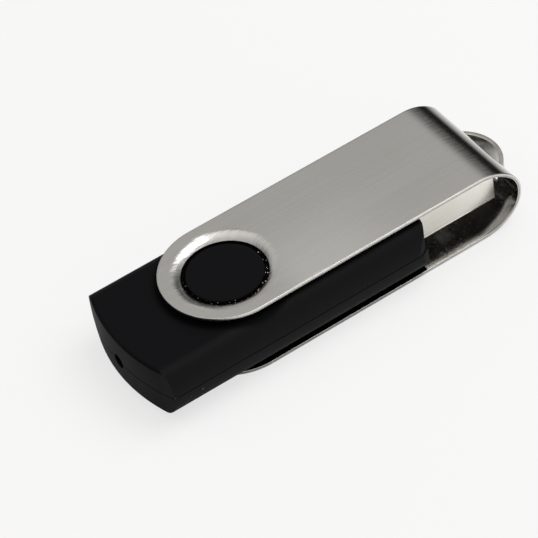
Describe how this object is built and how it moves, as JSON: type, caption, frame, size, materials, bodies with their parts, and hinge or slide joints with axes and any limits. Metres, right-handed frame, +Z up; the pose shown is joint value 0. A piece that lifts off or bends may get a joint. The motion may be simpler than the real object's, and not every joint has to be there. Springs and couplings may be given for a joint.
{
  "type": "usb flash drive",
  "caption": "Pocket USB memory stick with a black moulded case and a bent metal clip that swivels round it to cover the plug, ending in a lanyard loop.",
  "frame": {"origin": "on the table under the middle of the bounding box, with the drive lying on the clip's lower plate", "axes": "+X towards the plug end and the lanyard loop, +Z up through the swivel axis's direction, +Y across the width"},
  "size_m": [0.0581, 0.02, 0.0104],
  "materials": {
    "case_plastic": "matte moulded black plastic",
    "clip_steel": "lengthwise brushed stainless steel",
    "shield_steel": "nickel-plated steel sheet",
    "insulator_plastic": "white moulded plastic",
    "contact_gold": "gold-plated strip",
    "board": "green solder mask",
    "chip_epoxy": "black moulded epoxy",
    "tinned_metal": "tinned metal",
    "ceramic": "fired ceramic",
    "led_white": "white moulded plastic",
    "led_clear": "clear moulded lens"
  },
  "bodies": {
    "drive": {"upper_shell": "case_plastic", "lower_shell": "case_plastic", "plug_shield": "shield_steel", "plug_insulator": "insulator_plastic", "contact_vbus": "contact_gold", "contact_data_minus": "contact_gold", "contact_data_plus": "contact_gold", "contact_ground": "contact_gold", "circuit_board": "board", "flash_chip": "chip_epoxy", "flash_leads": "tinned_metal", "controller_chip": "chip_epoxy", "controller_leads": "tinned_metal", "crystal_base": "ceramic", "crystal_lid": "shield_steel", "led_base": "led_white", "led_lens": "led_clear", "ceramic_capacitors": "ceramic", "capacitor_terminals": "tinned_metal", "chip_resistors": "chip_epoxy", "resistor_terminals": "tinned_metal", "solder_joints": "tinned_metal"},
    "clip": {"swivel_clip": "clip_steel"}
  },
  "joints": [
    {"name": "clip_swivel", "type": "hinge", "parent": "drive", "child": "clip", "pos_m": [-0.01251, 0, 0.0052], "axis": [0, 0, 1], "continuous": true}
  ]
}
